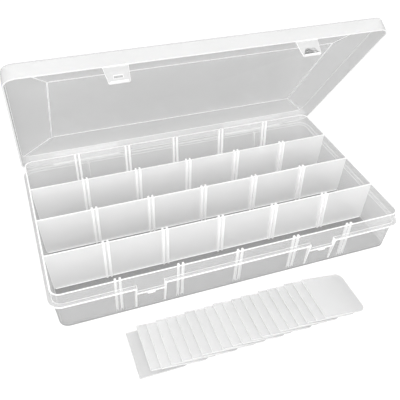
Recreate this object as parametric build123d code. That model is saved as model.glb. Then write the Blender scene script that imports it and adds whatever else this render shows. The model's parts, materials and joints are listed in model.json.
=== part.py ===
"""Clear compartment tackle box with a hinged lid, two snap latches and loose dividers.

Millimetres. X runs along the box, Y from the front to the hinge, Z up.
The origin is the centre of the tray's underside. The lid stands open.
"""
import os
from math import asin, degrees, sin

from build123d import *

# Tray
rim_length = 350.0
rim_width = 204.0
rim_height = 47.2
wall = 1.5
floor_thickness = 2.0
draft_inset = 3.35
rim_corner = 9.0
base_edge_radius = 1.2

# Flange that the closed lid rests on
flange_overhang = 3.0
flange_top = 34.8
flange_thickness = 1.8
flange_corner = 12.0

# Rows, columns and the ribs that hold the dividers
rows = 4
columns = 6
partition_thickness = 1.4
rib_width = 1.9
rib_depth = 2.0
slot_width = 2.5
rib_rise = 0.8
fused_overlap = 0.3
seam_gap = 0.02

# Latch seats in the front wall
latch_columns = (-1.5, 1.5)
recess_width = 29.0
web_thickness = 1.4
web_bottom = 4.0
web_foot = 0.6
ledge_top = 26.2
ledge_thickness = 1.8
ledge_setback = 1.8
nib_width = 7.0
nib_height = 1.8
nib_reach = 0.9
nib_rise_clearance = 0.4

# Lid
lid_wall = 1.5
lid_seat_gap = 0.3
lid_roof_gap = 0.5
lid_draft_inset = 1.0
lid_corner_radius = 2.2
lid_open_angle = 54.3
panel_length = 282.0
panel_width = 125.0
panel_corner = 4.0
panel_rise = 2.0

# Latch tabs
tab_top_width = 22.0
tab_bottom_width = 18.0
tab_length = 16.4
tab_thickness = 1.5
tab_gap = 0.4
tab_flare_angle = 6.0
tab_edge_radius = 1.5
tab_slot_width = 7.8
tab_lip = 0.9
tab_lip_height = 1.6

# Hinge
hinge_column = 1.8
hinge_length = 76.0
hinge_setout = 1.0
hinge_bead_radius = 0.5
hinge_web_thickness = 0.5
strip_width = 11.8
strip_thickness = 0.6
strip_lift = 0.6
gusset_height = 22.0
gusset_thickness = 1.5
gusset_margin = 1.0

# Loose dividers, shingled in front of the box
divider_count = 20
divider_height = 45.0
divider_length = 49.0
divider_thickness = 1.1
divider_foot_radius = 7.0
divider_top_radius = 1.0
fan_start = -118.0
fan_front_offset = 42.5
fan_pitch = 9.26
fan_pitch_swing = 0.45
fan_drift = 0.15
fan_wander = 0.7
fan_swing_beat = 1.7
fan_wander_beat = 2.3
fan_gap = 0.06

# Sizes that follow from the ones above
flange_length = rim_length + 2 * flange_overhang
flange_width = rim_width + 2 * flange_overhang
column_pitch = rim_length / columns
row_pitch = rim_width / rows
rib_offset = (slot_width + rib_width) / 2
lid_bottom = flange_top + lid_seat_gap
lid_top = rim_height + rib_rise + lid_roof_gap + lid_wall
lid_height = lid_top - lid_bottom
hinge_y = flange_width / 2 + hinge_setout
hinge_z = flange_top + lid_seat_gap / 2
latch_y = -flange_width / 2
latch_z = lid_bottom - tab_gap / 2
nib_top = ledge_top - ledge_thickness / 3
rib_columns = [column_pitch * (i - columns / 2) for i in range(1, columns)]
partition_rows = [row_pitch * (i - rows / 2) for i in range(1, rows)]
hinge_centres = [side * hinge_column * column_pitch for side in (-1, 1)]
latch_centres = [share * column_pitch for share in latch_columns]


def inset_at(height):
    """How far the tray's outer wall stands in from the rim at a height."""
    return draft_inset * (1 - height / rim_height)


def wall_y(height):
    """Distance from the middle to the outer face of the front or rear wall."""
    return rim_width / 2 - inset_at(height)


def wall_x(height):
    """Distance from the middle to the outer face of an end wall."""
    return rim_length / 2 - inset_at(height)


def tray_section(height, thickness=0.0):
    """Rounded outline of the tray's wall at a height, moved in by a thickness."""
    return Pos(0, 0, height) * RectangleRounded(
        2 * (wall_x(height) - thickness),
        2 * (wall_y(height) - thickness),
        rim_corner - thickness,
    )


def side_profile(points, x_low, x_high):
    """A solid with a Y-Z outline, from one X to another."""
    outline = Plane.YZ * make_face(Polyline(*points, close=True))
    return Pos(x_low, 0, 0) * extrude(outline, x_high - x_low)


def span(low, high):
    """A box from its low corner to its high corner."""
    size = [high[i] - low[i] for i in range(3)]
    middle = [(high[i] + low[i]) / 2 for i in range(3)]
    return Pos(*middle) * Box(*size)


def wall_ribs():
    """Rib pairs on the inner faces of the front and rear walls."""
    top = rim_height + rib_rise
    face_low = wall_y(floor_thickness) - wall
    face_high = wall_y(rim_height) - wall
    outline = [
        (face_low + fused_overlap, floor_thickness - fused_overlap),
        (face_high + fused_overlap, top),
        (face_high - rib_depth, top),
        (face_low - rib_depth, floor_thickness - fused_overlap),
    ]
    solids = []
    for column in rib_columns:
        for side in (-1, 1):
            middle = column + side * rib_offset
            for facing in (-1, 1):
                points = [(facing * y, z) for y, z in outline]
                solids.append(side_profile(points, middle - rib_width / 2, middle + rib_width / 2))
    return solids


def latch_seat(centre):
    """The dipped ledge, side webs and catch nib of one latch."""
    half = recess_width / 2
    rim_y = -flange_width / 2
    deep = -wall_y(web_bottom) + fused_overlap
    web_outline = [
        (deep, web_bottom),
        (-wall_y(web_bottom) - web_foot, web_bottom),
        (rim_y, flange_top - flange_thickness),
        (rim_y, flange_top),
        (deep, flange_top),
    ]
    solids = [
        side_profile(web_outline, centre - half, centre - half + web_thickness),
        side_profile(web_outline, centre + half - web_thickness, centre + half),
    ]
    ledge_front = rim_y + ledge_setback
    solids.append(
        span(
            (centre - half + web_thickness / 2, ledge_front, ledge_top - ledge_thickness),
            (centre + half - web_thickness / 2, -wall_y(ledge_top) + fused_overlap, ledge_top),
        )
    )
    nib_tip = rim_y + tab_thickness - nib_reach
    solids.append(
        span(
            (centre - nib_width / 2, nib_tip, nib_top - nib_height),
            (centre + nib_width / 2, ledge_front + fused_overlap, nib_top),
        )
    )
    return solids


def hinge_gusset(centre):
    """The triangular gusset that stiffens the flange behind one hinge."""
    top = flange_top - flange_thickness / 2
    foot = flange_top - flange_thickness - gusset_height
    outline = [
        (wall_y(top) - fused_overlap, top),
        (flange_width / 2 - gusset_margin, top),
        (wall_y(foot), foot),
        (wall_y(foot) - fused_overlap, foot),
    ]
    return side_profile(outline, centre - gusset_thickness / 2, centre + gusset_thickness / 2)


def make_tray():
    """The moulded tray: floor, drafted walls, flange, ribs and latch seats."""
    outer = loft([tray_section(0), tray_section(rim_height)], ruled=True)
    outer = fillet(outer.edges().group_by(Axis.Z)[0], base_edge_radius)
    flange = Pos(0, 0, flange_top - flange_thickness) * extrude(
        RectangleRounded(flange_length, flange_width, flange_corner), flange_thickness
    )
    for centre in latch_centres:
        half = recess_width / 2 - web_thickness / 2
        flange -= span(
            (centre - half, -flange_width, flange_top - 2 * flange_thickness),
            (centre + half, -wall_y(flange_top) + fused_overlap, flange_top + flange_thickness),
        )
    body = outer + flange
    for centre in latch_centres:
        body += latch_seat(centre)
    body += [hinge_gusset(centre) for centre in hinge_centres]
    hollow = loft(
        [tray_section(floor_thickness, wall), tray_section(rim_height, wall)], ruled=True
    )
    return body - hollow + wall_ribs()


def make_partition(row_y):
    """One full-length row partition with rib pairs on both faces."""
    low = wall_x(floor_thickness) - wall - seam_gap
    high = wall_x(rim_height) - wall - seam_gap
    outline = Plane.XZ * make_face(
        Polyline(
            (-low, floor_thickness),
            (low, floor_thickness),
            (high, rim_height),
            (-high, rim_height),
            close=True,
        )
    )
    plate = Pos(0, partition_thickness / 2, 0) * extrude(outline, partition_thickness)
    reach = partition_thickness / 2 + rib_depth
    for column in rib_columns:
        for side in (-1, 1):
            middle = column + side * rib_offset
            plate += span(
                (middle - rib_width / 2, -reach, floor_thickness),
                (middle + rib_width / 2, reach, rim_height + rib_rise),
            )
    return Pos(0, row_y, 0) * plate


def lid_section(height, thickness=0.0):
    """Rounded outline of the closed lid at a height, moved in by a thickness."""
    inset = lid_draft_inset * (height - lid_bottom) / lid_height + thickness
    return Pos(0, 0, height) * RectangleRounded(
        flange_length - 2 * inset, flange_width - 2 * inset, flange_corner - inset
    )


def hipped_roof(base, height):
    """The gentle slopes from an outline at the lid's edge up to its flat panel."""
    panel = RectangleRounded(panel_length, panel_width, panel_corner)
    return loft([base, Pos(0, 0, height) * panel], ruled=True)


def make_lid():
    """The lid as it sits closed: skirt, four gently sloping borders and a flat panel."""
    roof = lid_top - lid_wall
    outer = loft([lid_section(lid_bottom), lid_section(lid_top)], ruled=True)
    outer = fillet(outer.edges().group_by(Axis.Z)[-1], lid_corner_radius)
    hollow = loft([lid_section(lid_bottom, lid_wall), lid_section(roof, lid_wall)], ruled=True)
    roof_base = lid_section(lid_top - fused_overlap, lid_corner_radius)
    outer += hipped_roof(roof_base, lid_top + panel_rise)
    return outer - hollow - hipped_roof(lid_section(roof, lid_wall), roof + panel_rise)


def make_latch(centre):
    """One latch tab as it hangs from the closed lid, flush with the lid's skirt."""
    top = lid_bottom - tab_gap
    foot = lid_bottom - tab_length
    outline = Plane.XZ * make_face(
        Polyline(
            (-tab_top_width / 2, top),
            (tab_top_width / 2, top),
            (tab_bottom_width / 2, foot),
            (-tab_bottom_width / 2, foot),
            close=True,
        )
    )
    tab = Pos(0, latch_y + tab_thickness, 0) * extrude(outline, tab_thickness)
    corners = tab.edges().filter_by(Axis.Y).group_by(Axis.Z)[0]
    tab = fillet(corners, tab_edge_radius)
    tab -= span(
        (-tab_slot_width / 2, latch_y - tab_thickness, nib_top - nib_height - nib_rise_clearance),
        (tab_slot_width / 2, latch_y + 2 * tab_thickness, nib_top + nib_rise_clearance),
    )
    lip_half = tab_bottom_width / 2 - tab_edge_radius
    tab += span(
        (-lip_half, latch_y - tab_lip, foot),
        (lip_half, latch_y + tab_thickness / 2, foot + tab_lip_height),
    )
    return Pos(centre, 0, 0) * tab


def turned(shape, y, z, angle):
    """A shape turned about an axis along X. A positive angle lifts the front."""
    return Pos(0, y, z) * Rot(-angle, 0, 0) * Pos(0, -y, -z) * shape


def make_hinge_root(centre):
    """Tray side of one hinge: a short web out to the bead on the hinge line."""
    start = centre - hinge_length / 2
    bead = Pos(start, hinge_y, hinge_z) * Rot(0, 90, 0) * Cylinder(
        hinge_bead_radius, hinge_length, align=(Align.CENTER, Align.CENTER, Align.MIN)
    )
    web_high = hinge_z - lid_seat_gap / 2
    web = span(
        (start, flange_width / 2, web_high - hinge_web_thickness),
        (start + hinge_length, hinge_y, web_high),
    )
    return bead + web


def make_hinge_strip(centre):
    """Lid side of one hinge: a strip that lies on the outside of the rear skirt."""
    low = lid_bottom + strip_lift
    high = low + strip_width
    slope = lid_draft_inset / lid_height

    def skirt(height):
        return flange_width / 2 - slope * (height - lid_bottom)

    outline = [
        (skirt(low), low),
        (skirt(low) + strip_thickness, low),
        (skirt(high) + strip_thickness, high),
        (skirt(high), high),
    ]
    return side_profile(outline, centre - hinge_length / 2, centre + hinge_length / 2)


def divider_foot(index):
    """Where the rounded foot edge of one divider meets the ground, along X."""
    swing = fan_pitch_swing * sin(fan_swing_beat * index)
    return fan_start + divider_height + fan_pitch * index + swing / 2


def make_divider(index):
    """One thin divider with two rounded foot corners, lying in the fan."""
    plate = extrude(Rectangle(divider_height, divider_length), divider_thickness)
    upright = plate.edges().filter_by(Axis.Z).group_by(Axis.X)
    plate = fillet(upright[-1], divider_foot_radius)
    upright = plate.edges().filter_by(Axis.Z).group_by(Axis.X)
    plate = fillet(upright[0], divider_top_radius)
    plate = Pos(-divider_height / 2, 0, 0) * plate
    closest = fan_pitch - fan_pitch_swing
    tilt = 0 if index == 0 else degrees(asin((divider_thickness + fan_gap) / closest))
    fan_y = -flange_width / 2 - fan_front_offset + divider_length / 2
    wander = fan_wander * sin(fan_wander_beat * index)
    y = fan_y - divider_length / 2 + fan_drift * index + wander
    return Pos(divider_foot(index), y, 0) * Rot(0, tilt, 0) * plate


def build():
    """Every piece of the box, by name."""
    opened = {"y": hinge_y, "z": hinge_z, "angle": lid_open_angle}
    pieces = {"tray": make_tray()}
    for name, row_y in zip(("front", "middle", "rear"), partition_rows):
        pieces[f"row_partition_{name}"] = make_partition(row_y)
    pieces["lid"] = turned(make_lid(), **opened)
    for name, centre in zip(("left", "right"), latch_centres):
        flared = turned(make_latch(centre), latch_y, latch_z, tab_flare_angle)
        pieces[f"latch_{name}"] = turned(flared, **opened)
    for name, centre in zip(("left", "right"), hinge_centres):
        pieces[f"hinge_root_{name}"] = make_hinge_root(centre)
        pieces[f"hinge_strip_{name}"] = turned(make_hinge_strip(centre), **opened)
    for index in range(divider_count):
        pieces[f"divider_{index + 1:02d}"] = make_divider(index)
    return pieces


os.makedirs("parts", exist_ok=True)
for node, shape in build().items():
    export_step(shape, f"parts/{node}.step")
    print(node, "volume", round(shape.volume), "mm3")
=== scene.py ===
# %% [markdown]
# # A clear compartment tackle box
# The box is moulded in clear polypropylene. Tray, partitions, lid, hinge strips
# and latches come from one shot of plastic, and the dividers are loose plates.
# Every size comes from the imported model, which is the fixed frame of this
# scene. What is made here is the finish of each piece and the fine forms that a
# mould leaves: rounded lips, the lines where faces meet, and the whitened webs
# that bend.

# %% Load the frame
import json
from math import radians

import bmesh
import bpy
from mathutils import Matrix, Vector
from mathutils.bvhtree import BVHTree

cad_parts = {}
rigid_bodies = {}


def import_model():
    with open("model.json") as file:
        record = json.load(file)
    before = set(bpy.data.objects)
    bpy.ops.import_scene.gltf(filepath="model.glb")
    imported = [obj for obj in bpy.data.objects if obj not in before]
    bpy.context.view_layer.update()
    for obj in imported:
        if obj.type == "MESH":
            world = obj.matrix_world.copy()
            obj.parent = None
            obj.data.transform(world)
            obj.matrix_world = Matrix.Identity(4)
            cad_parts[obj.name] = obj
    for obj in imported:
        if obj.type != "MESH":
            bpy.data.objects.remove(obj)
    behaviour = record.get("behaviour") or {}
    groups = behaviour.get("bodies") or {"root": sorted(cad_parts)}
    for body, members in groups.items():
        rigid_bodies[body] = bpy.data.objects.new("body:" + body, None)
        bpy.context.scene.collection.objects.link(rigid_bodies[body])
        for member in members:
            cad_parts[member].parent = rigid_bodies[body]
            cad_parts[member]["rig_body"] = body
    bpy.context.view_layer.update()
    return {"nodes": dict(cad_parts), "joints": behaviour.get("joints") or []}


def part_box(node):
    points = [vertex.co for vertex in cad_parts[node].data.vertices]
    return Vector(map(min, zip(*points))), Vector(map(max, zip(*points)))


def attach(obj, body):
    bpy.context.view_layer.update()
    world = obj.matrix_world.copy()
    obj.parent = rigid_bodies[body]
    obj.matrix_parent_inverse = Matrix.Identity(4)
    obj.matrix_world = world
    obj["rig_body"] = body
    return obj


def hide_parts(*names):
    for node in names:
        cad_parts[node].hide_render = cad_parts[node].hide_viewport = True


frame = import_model()
nodes = frame["nodes"]
MM = 0.001
scene = bpy.context.scene

# %% [markdown]
# ## Where the pieces are
# The frame says where each node lies, so the few sizes that this script needs
# are read from it: the hinge line, the angle of the open lid, and how the lid
# lies when it is turned shut again, where its faces are level and its sides
# upright. The fine forms of the lid are made shut and then turned open.

# %% Measures taken from the frame
joints = {joint["name"]: joint for joint in frame["joints"]}
hinge_point = Vector(joints["lid_hinge"]["pos_m"])
open_angle = -joints["lid_hinge"]["range_deg"][0]
opening = (
    Matrix.Translation(hinge_point)
    @ Matrix.Rotation(radians(-open_angle), 4, "X")
    @ Matrix.Translation(-hinge_point)
)
closing = opening.inverted()
shut_lid = [closing @ vertex.co for vertex in nodes["lid"].data.vertices]
lid_top = max(point.z for point in shut_lid)
print("lid open by", open_angle, "degrees, top when shut", round(lid_top / MM, 1), "mm")

# %% [markdown]
# ## Camera
# The box was photographed from the front left and above, with a normal lens.
# The camera stands at that place, level apart from a small roll, and its lens
# is the one whose perspective fits the box's long edges. The azimuth says how
# far its look turns from straight ahead, and the elevation how far it points
# down. A look along the fan of dividers crosses dozens of clear faces, so a ray
# may pass more of them than Blender allows by default.

# %% Camera
camera_place = Vector((-168.6, -433.3, 411.9)) * MM
camera_azimuth = 20.82
camera_elevation = 39.49
camera_roll = 1.76
camera_lens = 50.16
sensor_width = 36.0
clear_faces = 64

camera_data = bpy.data.cameras.new("camera")
camera_data.lens = camera_lens
camera_data.sensor_width = sensor_width
camera = bpy.data.objects.new("camera", camera_data)
scene.collection.objects.link(camera)
turn = Matrix.Rotation(radians(-camera_azimuth), 4, "Z")
tilt = Matrix.Rotation(radians(90 - camera_elevation), 4, "X")
roll = Matrix.Rotation(radians(camera_roll), 4, "Z")
camera.matrix_world = Matrix.Translation(camera_place) @ turn @ tilt @ roll
scene.camera = camera
scene.view_settings.view_transform = "Standard"
scene.cycles.transparent_max_bounces = clear_faces
print("camera at", [round(v, 3) for v in camera_place])

# %% [markdown]
# ## Nodes and colours
# Two helpers serve every finish. One turns an sRGB hex colour to the linear
# values that shader sockets take. The other adds a node with its settings and
# its links in one line.


# %% Helpers for materials
def linear(hex_colour):
    """An sRGB hex colour as linear RGBA."""
    values = [int(hex_colour[i : i + 2], 16) / 255 for i in (1, 3, 5)]
    return [v / 12.92 if v <= 0.04045 else ((v + 0.055) / 1.055) ** 2.4 for v in values] + [1.0]


def add(tree, kind, inputs=(), **settings):
    """Adds a node, sets its settings, then fills or links its inputs by name or number."""
    node = tree.nodes.new(kind)
    for key, value in settings.items():
        setattr(node, key, value)
    for key, value in dict(inputs).items():
        if isinstance(value, bpy.types.NodeSocket):
            tree.links.new(value, node.inputs[key])
        else:
            node.inputs[key].default_value = value
    return node


white = linear("#FFFFFF")
print("white is", white[:3])

# %% [markdown]
# ## Clear polypropylene
# Polypropylene is never quite clear: its crystals scatter a little light, so a
# wall looks like thin milk, and two walls look whiter than one. It could be
# made as refracting glass, but that renders slowly, and light that has to bend
# through forty faces hardly reaches the paper below. So it has a plain
# see-through share on the shader, the same on both faces of a wall. A broad,
# faint cloud in the colour stands for the flow of plastic in the mould, and a
# fine ripple in the bump for steel that is polished but not perfect.
#
# The tray's floor lies on the paper and gets no light from below, so a painted
# shade makes it greyer than the walls: a darker colour mixed in up to its top face.
# Clear plastic also carries light inside it and lets it out elsewhere, which a
# see-through share can't do, so a finish can have a faint painted glow in its place.

# %% Clear polypropylene
cloud_size = 60 * MM
cloud_detail = 3.0
ripple_size = 9 * MM
ripple_detail = 1.0
ripple_depth = 0.4 * MM
ripple_strength = 0.08
polypropylene_ior = 1.49
floor_top = 2.1 * MM
floor_shade_fade = 0.4 * MM


def clear_plastic(name, hex_colour, shade_hex, see_through, roughness, floor_shade_hex=None, glow=0.0):
    """Moulded polypropylene: cloudy colour, soft gloss, see-through share, optional painted
    floor shade and painted glow.
    """
    material = bpy.data.materials.new(name)
    material.use_nodes = True
    tree = material.node_tree
    shader = tree.nodes["Principled BSDF"]
    place = add(tree, "ShaderNodeTexCoord")
    cloud = add(
        tree,
        "ShaderNodeTexNoise",
        {"Vector": place.outputs["Object"], "Scale": 1 / cloud_size, "Detail": cloud_detail},
    )
    tint = add(
        tree,
        "ShaderNodeMix",
        {0: cloud.outputs["Fac"], 6: linear(hex_colour), 7: linear(shade_hex)},
        data_type="RGBA",
    )
    ripple = add(
        tree,
        "ShaderNodeTexNoise",
        {"Vector": place.outputs["Object"], "Scale": 1 / ripple_size, "Detail": ripple_detail},
    )
    bump = add(
        tree,
        "ShaderNodeBump",
        {"Height": ripple.outputs["Fac"], "Strength": ripple_strength, "Distance": ripple_depth},
    )
    colour = tint.outputs[2]
    # Painted shade: a darker colour on the tray's floor, up to its top face.
    if floor_shade_hex:
        height = add(tree, "ShaderNodeSeparateXYZ", {"Vector": place.outputs["Object"]})
        above = add(
            tree,
            "ShaderNodeMapRange",
            {
                "Value": height.outputs["Z"],
                "From Min": floor_top,
                "From Max": floor_top + floor_shade_fade,
            },
        )
        mixed = {0: above.outputs[0], 6: linear(floor_shade_hex), 7: colour}
        colour = add(tree, "ShaderNodeMix", mixed, data_type="RGBA").outputs[2]
    tree.links.new(colour, shader.inputs["Base Color"])
    tree.links.new(bump.outputs["Normal"], shader.inputs["Normal"])
    shader.inputs["Roughness"].default_value = roughness
    shader.inputs["IOR"].default_value = polypropylene_ior
    shader.inputs["Alpha"].default_value = 1 - see_through
    # A painted glow, standing in for light that the plastic carries inside it.
    shader.inputs["Emission Color"].default_value = white
    shader.inputs["Emission Strength"].default_value = glow
    return material


print("cloud of", round(cloud_size / MM), "mm, ripple of", round(ripple_size / MM), "mm")

# %% [markdown]
# ## One plastic, eight finishes
# Every piece is the same plastic, but some show more of the paper behind them
# than others. One finish for all would make the fan of dividers as heavy as the
# partitions, so each kind of piece has its own see-through share and roughness.
# The two hex colours of each are the cloud's light and dark, and from piece to
# piece they are painted light and shade, lighter and darker copies of one plastic.
# The first word of a node's name says what kind of piece it is, and so which
# finish it gets.

# %% The eight finishes
# Tray: polished thin walls that show the paper, over a floor greyed by painted shade.
tray_plastic = clear_plastic(
    "clear_polypropylene_tray",
    "#F2F2F2",
    "#EAEAEA",
    see_through=0.74,
    roughness=0.2,
    floor_shade_hex="#A8A8A8",
)
# Partitions: milkier, with a painted glow for light scattered from the walls around them.
row_plastic = clear_plastic(
    "clear_polypropylene_rows",
    "#E4E4E4",
    "#DEDEDE",
    see_through=0.4,
    roughness=0.25,
    glow=0.15,
)
# Lid: the smoothest piece, with the clearest gloss on its flat panel.
lid_plastic = clear_plastic(
    "clear_polypropylene_lid",
    "#F0F0F0",
    "#E8E8E8",
    see_through=0.58,
    roughness=0.12,
)
# Latches: more solid to the eye than the walls beside them, and greyer by painted shade.
latch_plastic = clear_plastic(
    "clear_polypropylene_latches",
    "#DCDCDC",
    "#D6D6D6",
    see_through=0.35,
    roughness=0.25,
)
# Dividers: so clear and matt that the fan is drawn mainly by its edges.
divider_plastic = clear_plastic(
    "clear_polypropylene_dividers",
    "#FCFCFC",
    "#F6F6F6",
    see_through=0.72,
    roughness=0.3,
)
# Edges of the dividers: a painted highlight, paler than their faces but still half clear.
divider_edge = clear_plastic(
    "painted_divider_edge_highlight",
    "#FAFAFA",
    "#F4F4F4",
    see_through=0.45,
    roughness=0.3,
)
# Lips, rib tips and corners: nearly white, where a wall lets out its light; painted highlight
# and glow.
edge_highlight_plastic = clear_plastic(
    "painted_edge_highlight",
    "#FDFDFD",
    "#F8F8F8",
    see_through=0.2,
    roughness=0.3,
    glow=0.12,
)
# Hinge strips and webs: the whitest, for plastic whitens where it bends, plus a faint
# painted glow. The fine lines in the lid are as white, as a painted highlight.
whitened_and_highlight_plastic = clear_plastic(
    "whitened_and_highlight_polypropylene",
    "#FDFDFD",
    "#F8F8F8",
    see_through=0.1,
    roughness=0.3,
    glow=0.12,
)
finishes = {"tray": tray_plastic, "row": row_plastic, "lid": lid_plastic}
finishes |= {"latch": latch_plastic, "hinge": whitened_and_highlight_plastic, "divider": divider_plastic}
for kind, finish in finishes.items():
    print(kind, "in", finish.name)

# %% [markdown]
# ## Faces as narrow as a wall
# A clear wall carries light inside it, as a fibre does, and lets it out where
# the wall ends. So lips, rib tips and corners look white although the walls
# look grey, and that white is painted on them as a highlight. There are hundreds
# of such faces, too many to pick by hand. They are found by their width, which
# on a long strip is twice the area over the outline. It is taken over a whole
# patch of faces that ends at sharp edges, so a round corner, which is many narrow
# faces in a row, isn't taken for a lip.

# %% Find the narrow faces
sharp_degrees = 32
sharp_angle = radians(sharp_degrees)


def narrow_patches(mesh, limit):
    """Indexes of faces on patches, bounded by sharp edges, narrower than a limit."""
    shape = bmesh.new()
    shape.from_mesh(mesh)
    shape.faces.ensure_lookup_table()
    found, seen = [], set()
    for start in shape.faces:
        if start.index in seen:
            continue
        patch, border, queue = [], 0.0, [start]
        seen.add(start.index)
        while queue:
            face = queue.pop()
            patch.append(face)
            for edge in face.edges:
                smooth = len(edge.link_faces) == 2 and edge.calc_face_angle(0) < sharp_angle
                if not smooth:
                    border += edge.calc_length()
                    continue
                for other in edge.link_faces:
                    if other.index not in seen:
                        seen.add(other.index)
                        queue.append(other)
        area = sum(face.calc_area() for face in patch)
        if border > 0 and 2 * area / border < limit:
            found += [face.index for face in patch]
    shape.free()
    return found


print("a patch ends at edges sharper than", sharp_degrees, "degrees")

# %% [markdown]
# ## Points that the rounding throws off
# The Bevel modifier below isn't clamped. Clamped, it would take its width from
# the shortest edge of a piece and leave the whole piece nearly sharp. Unclamped
# it rounds every edge alike, but where many faces meet in little space it can
# throw a point off the surface. So each point that lies farther from the packed
# solid than a round edge can is set back onto the solid's surface.


# %% Settle stray points
def settle(mesh, packed_mesh, reach):
    """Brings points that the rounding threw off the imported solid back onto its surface."""
    corners = [vertex.co for vertex in packed_mesh.vertices]
    surface = BVHTree.FromPolygons(corners, [face.vertices for face in packed_mesh.polygons])
    settled = 0
    for vertex in mesh.vertices:
        nearest, _, _, distance = surface.find_nearest(vertex.co)
        if distance > reach:
            vertex.co = nearest
            settled += 1
    return settled


# %% [markdown]
# ## Rounded edges with painted highlights
# The imported solids have knife-sharp edges, which no mould leaves. Each solid is
# copied here, its loose triangles are merged into real faces, and a Bevel
# modifier rounds every sharp edge and gives the new faces the edge finish, a
# painted highlight. It could be done in edit mode, but the modifier picks the
# edges by their angle.
# The hinge pieces are about half a millimetre thick, so they are rounded less.

# %% Moulded copies of the imported solids
weld_distance = 0.002 * MM
flat_angle = radians(0.5)
smooth_angle = radians(40)
narrow_face = 2.2 * MM
edge_rounding = 0.25 * MM
hinge_rounding = 0.12 * MM
round_segments = 2
stray_widths = 1.5


def moulded(node_name, finish, highlight_finish, width):
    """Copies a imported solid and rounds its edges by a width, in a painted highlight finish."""
    packed_mesh = nodes[node_name].data
    piece = bpy.data.objects.new("moulded_" + node_name, packed_mesh.copy())
    scene.collection.objects.link(piece)
    bpy.ops.object.select_all(action="DESELECT")
    piece.select_set(True)
    bpy.context.view_layer.objects.active = piece
    bpy.ops.object.mode_set(mode="EDIT")
    bpy.ops.mesh.select_all(action="SELECT")
    bpy.ops.mesh.remove_doubles(threshold=weld_distance)
    bpy.ops.mesh.dissolve_limited(angle_limit=flat_angle)
    bpy.ops.object.mode_set(mode="OBJECT")
    piece.data.materials.clear()
    piece.data.materials.append(finish)
    piece.data.materials.append(highlight_finish)
    for face in piece.data.polygons:
        face.material_index = 0
    # Narrow faces get the painted edge highlight.
    for index in narrow_patches(piece.data, narrow_face):
        piece.data.polygons[index].material_index = 1
    rounding = piece.modifiers.new("rounding", "BEVEL")
    rounding.width = width
    rounding.segments = round_segments
    rounding.limit_method = "ANGLE"
    rounding.angle_limit = sharp_angle
    rounding.use_clamp_overlap = False
    rounding.material = 1
    bpy.ops.object.modifier_apply(modifier="rounding")
    settled = settle(piece.data, packed_mesh, stray_widths * width)
    bpy.ops.object.shade_smooth_by_angle(angle=smooth_angle)
    body = nodes[node_name]["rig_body"]
    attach(piece, body)
    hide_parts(node_name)
    print(piece.name, len(piece.data.polygons), "faces,", settled, "points settled")


for name in sorted(nodes):
    finish = finishes[name.split("_")[0]]
    nodes[name].data.materials.clear()
    nodes[name].data.materials.append(finish)
    highlight_finish = divider_edge if name.startswith("divider") else edge_highlight_plastic
    width = hinge_rounding if name.startswith("hinge") else edge_rounding
    moulded(name, finish, highlight_finish, width)

# %% [markdown]
# ## Slim bars
# The lines and webs below are all thinner than a wall. Each could be a curve
# with a round bevel, but a bar has the few faces that so thin a thing needs: a
# cube that is drawn out to its length, its edges bevelled in edit mode, and
# turned from one point to the other. It is made a little longer than the line,
# so that two bars that meet in a corner close it.

# %% Helpers for slim bars
rounding_share = 0.3


def slim_bar(start, end, width, depth):
    """Lays a bar with rounded edges from one point to another and leaves it active."""
    start, end = Vector(start), Vector(end)
    bpy.ops.object.select_all(action="DESELECT")
    bpy.ops.mesh.primitive_cube_add(size=1.0)
    bar = bpy.context.object
    bar.scale = ((end - start).length + width, width, depth)
    bpy.ops.object.transform_apply(scale=True)
    bpy.ops.object.mode_set(mode="EDIT")
    bpy.ops.mesh.select_all(action="SELECT")
    bpy.ops.mesh.bevel(offset=rounding_share * depth, segments=round_segments, affect="EDGES")
    bpy.ops.object.mode_set(mode="OBJECT")
    along = (end - start).to_track_quat("X", "Z").to_matrix().to_4x4()
    bar.matrix_world = Matrix.Translation((start + end) / 2) @ along


def finish_piece(name, body, finish, turn=None):
    """Names the active object, bakes its place into its mesh and lets it ride on a body."""
    made = bpy.context.object
    made.name = name
    if turn:
        made.matrix_world = turn @ made.matrix_world
    bpy.ops.object.transform_apply(location=True, rotation=True, scale=True)
    made.data.materials.append(finish)
    bpy.ops.object.shade_smooth_by_angle(angle=smooth_angle)
    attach(made, body)


print("bars are rounded by", rounding_share, "of their depth")

# %% [markdown]
# ## Painted highlights on the lid's creases
# The lid's roof is a flat panel with four borders that slope gently down to the
# skirt. Each crease is rounded in the mould and gathers light, so the panel is
# drawn by fine white lines of painted highlight, and a line runs from each of its
# corners to the lid's corner. A crease of three degrees is too slight for the
# bevel above, so each line is a slim bar of painted highlight that is laid on the
# inner face of the shut lid. The panel's size is read from the lid's highest
# points, and the corners of its borders from the points where the inner faces of
# roof and skirt meet. The lid's corners are round, so a line ends a little before
# them.

# %% Painted highlights on the lid's creases
line_width = 1.4 * MM
line_depth = 0.4 * MM
lid_wall = 1.5 * MM
border_fall = 2.0 * MM
corner_gap = 4 * MM
panel_tolerance = 0.05 * MM
skirt_tolerance = 0.3 * MM

panel_points = [point for point in shut_lid if point.z > lid_top - panel_tolerance]
panel_x = max(abs(point.x) for point in panel_points)
panel_y = max(abs(point.y) for point in panel_points)
panel_z = lid_top - lid_wall
corner_z = panel_z - border_fall
skirt_top = [point for point in shut_lid if abs(point.z - corner_z) < skirt_tolerance]
corner_x = max(point.x for point in skirt_top) - corner_gap
corner_y = max(point.y for point in skirt_top) - corner_gap

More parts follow.
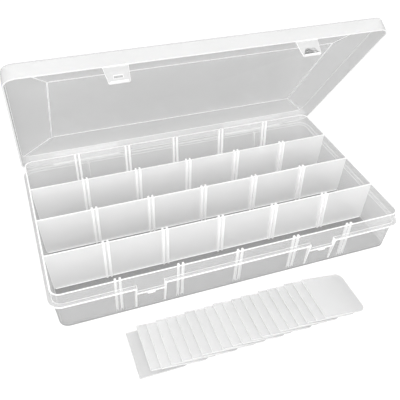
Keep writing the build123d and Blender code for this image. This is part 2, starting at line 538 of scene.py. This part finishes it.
corners = [(-1, -1), (1, -1), (1, 1), (-1, 1)]
for index, (side_x, side_y) in enumerate(corners):
    next_x, next_y = corners[(index + 1) % 4]
    here = (side_x * panel_x, side_y * panel_y, panel_z)
    there = (next_x * panel_x, next_y * panel_y, panel_z)
    outer = (side_x * corner_x, side_y * corner_y, corner_z)
    slim_bar(here, there, line_width, line_depth)
    finish_piece(f"panel_line_{index + 1}", "lid", whitened_and_highlight_plastic, opening)
    slim_bar(here, outer, line_width, line_depth)
    finish_piece(f"hip_line_{index + 1}", "lid", whitened_and_highlight_plastic, opening)
print("panel", round(2 * panel_x / MM), "x", round(2 * panel_y / MM), "mm")

# %% [markdown]
# ## Feet of the partitions
# Where a partition meets the floor the mould has a small round, which stops the
# plastic from tearing there. It gathers light as the lips do, and a white line of
# painted highlight is drawn along each foot. A concave round in the solids would
# be hard to see and heavy in faces, so a slim bar is laid in each corner, sunk a
# little into floor and partition. It ends short of the tray's end walls, which
# lean in by about three millimetres from the rim to the floor.

# %% Feet of the partitions
foot_width = 0.9 * MM
foot_inset = 2.0 * MM
foot_offset = 0.9 * MM
foot_rise = 0.3 * MM
wall_lean = 3 * MM
for place in ("front", "middle", "rear"):
    low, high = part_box("row_partition_" + place)
    middle_y = (low[1] + high[1]) / 2
    start_x, end_x = low[0] + wall_lean + foot_inset, high[0] - wall_lean - foot_inset
    for side, facing in (("near", -1), ("far", 1)):
        foot_y = middle_y + facing * foot_offset
        foot_z = low[2] + foot_rise
        # Each bar is a painted highlight along the foot.
        slim_bar((start_x, foot_y, foot_z), (end_x, foot_y, foot_z), foot_width, foot_width)
        finish_piece(f"foot_{place}_{side}", "tray", edge_highlight_plastic)
print("feet", round((end_x - start_x) / MM), "mm long")

# %% [markdown]
# ## The webs that bend
# Lid and tray are one moulding at the hinge: a web of about half a millimetre
# joins them, whitened where it has been bent. A latch hangs on such a web too.
# Each lies along its joint's axis, where nothing moves apart when the joint
# turns, so a straight bar that rides on the lid looks right at every angle, and
# no bending sheet is needed. So thin a web would hardly show, so the bars are
# drawn about a millimetre thick.

# %% Hinge and latch webs
bead_offset = Vector((0, 0.1, 0.35)) * MM
hinge_web_width = 0.9 * MM
hinge_web_depth = 1.3 * MM
latch_web_inset = 1.0 * MM
latch_web_width = 0.8 * MM
for side in ("left", "right"):
    low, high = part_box("hinge_strip_" + side)
    bead = hinge_point + bead_offset
    slim_bar(
        (low[0], bead.y, bead.z),
        (high[0], bead.y, bead.z),
        hinge_web_width,
        hinge_web_depth,
    )
    finish_piece("hinge_web_" + side, "lid", whitened_and_highlight_plastic)
    axis_point = Vector(joints[f"latch_{side}_hinge"]["pos_m"])
    low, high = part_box("latch_" + side)
    slim_bar(
        (low[0] + latch_web_inset, axis_point.y, axis_point.z),
        (high[0] - latch_web_inset, axis_point.y, axis_point.z),
        latch_web_width,
        latch_web_width,
    )
    finish_piece("latch_web_" + side, "lid", whitened_and_highlight_plastic)
print("latch webs", round((high[0] - low[0] - 2 * latch_web_inset) / MM, 1), "mm long")

# %% [markdown]
# ## White paper
# The box stands on white paper that runs out of the picture. White paper would
# throw much light into the clear walls and hide them, so its colour is a middle
# grey, and it is lifted to white by a little emission only where the camera
# sees it bare. Through plastic it stays grey, a painted shade under and behind
# the box that sets it off. The two are told apart by the ray: it comes from the
# camera and has passed no clear face. The paper lies a tenth of a millimetre
# below the tray, because two faces in one plane render as rings.

# %% White paper
paper_size = 6.0
paper_gap = 0.1 * MM
paper_shade_colour = "#BABABA"
paper_roughness = 0.9
paper_lift = 0.54
under_one_face = 0.5

bpy.ops.object.select_all(action="DESELECT")
bpy.ops.mesh.primitive_plane_add(size=paper_size, location=(0, 0, -paper_gap))
floor = bpy.context.object
floor.name = "floor"
paper = bpy.data.materials.new("white_paper")
paper.use_nodes = True
tree = paper.node_tree
paper_shader = tree.nodes["Principled BSDF"]
paper_shader.inputs["Base Color"].default_value = linear(paper_shade_colour)
paper_shader.inputs["Roughness"].default_value = paper_roughness
# Painted shade: the paper stays grey where it is seen through plastic.
path = add(tree, "ShaderNodeLightPath")
bare = add(
    tree,
    "ShaderNodeMath",
    {0: path.outputs["Transparent Depth"], 1: under_one_face},
    operation="LESS_THAN",
)
seen = add(
    tree,
    "ShaderNodeMath",
    {0: path.outputs["Is Camera Ray"], 1: bare.outputs[0]},
    operation="MULTIPLY",
)
lift = add(tree, "ShaderNodeMath", {0: seen.outputs[0], 1: paper_lift}, operation="MULTIPLY")
glow = add(tree, "ShaderNodeEmission", {"Color": white, "Strength": lift.outputs[0]})
both = add(tree, "ShaderNodeAddShader", {0: paper_shader.outputs[0], 1: glow.outputs[0]})
tree.links.new(both.outputs[0], tree.nodes["Material Output"].inputs["Surface"])
floor.data.materials.append(paper)
print("paper", paper_size, "m square")

# %% [markdown]
# ## White room
# A white room lights the box from all sides, which is why nothing on it is dark.
# The world is a plain white, a little under full strength so that pale plastic
# doesn't clip, and full white where the camera sees it.

# %% White room
room_light = 0.92
room_seen = 1.0

world = bpy.data.worlds.new("studio")
world.use_nodes = True
scene.world = world
sky = world.node_tree.nodes["Background"]
sky_path = add(world.node_tree, "ShaderNodeLightPath")
sky_level = add(
    world.node_tree,
    "ShaderNodeMix",
    {0: sky_path.outputs["Is Camera Ray"], 2: room_light, 3: room_seen},
    data_type="FLOAT",
)
world.node_tree.links.new(sky_level.outputs[0], sky.inputs["Strength"])
sky.inputs["Color"].default_value = white
print("room lights at", room_light, "and is seen at", room_seen)

# %% [markdown]
# ## Two large lamps
# The main lamp stands in front of the box, above it and a little to the left,
# and a weak one hangs overhead. Both are large, so shadows are soft and gloss
# is broad and dim. A small lamp would put hard points of light on every lip.


# %% Two large lamps
def soft_light(name, place, target, size, power):
    """Hangs a large square lamp so that it faces a point."""
    lamp_data = bpy.data.lights.new(name, "AREA")
    lamp_data.size = size
    lamp_data.energy = power
    lamp = bpy.data.objects.new(name, lamp_data)
    scene.collection.objects.link(lamp)
    aim = (Vector(target) - Vector(place)).to_track_quat("-Z", "Y").to_matrix().to_4x4()
    lamp.matrix_world = Matrix.Translation(Vector(place)) @ aim
    print(name, "of", power, "W")


soft_light("front_light", place=(-0.3, -1.25, 0.95), target=(0, 0, 0.08), size=1.5, power=16)
soft_light("top_light", place=(0.3, 0.1, 1.6), target=(0, 0, 0), size=1.2, power=1.5)
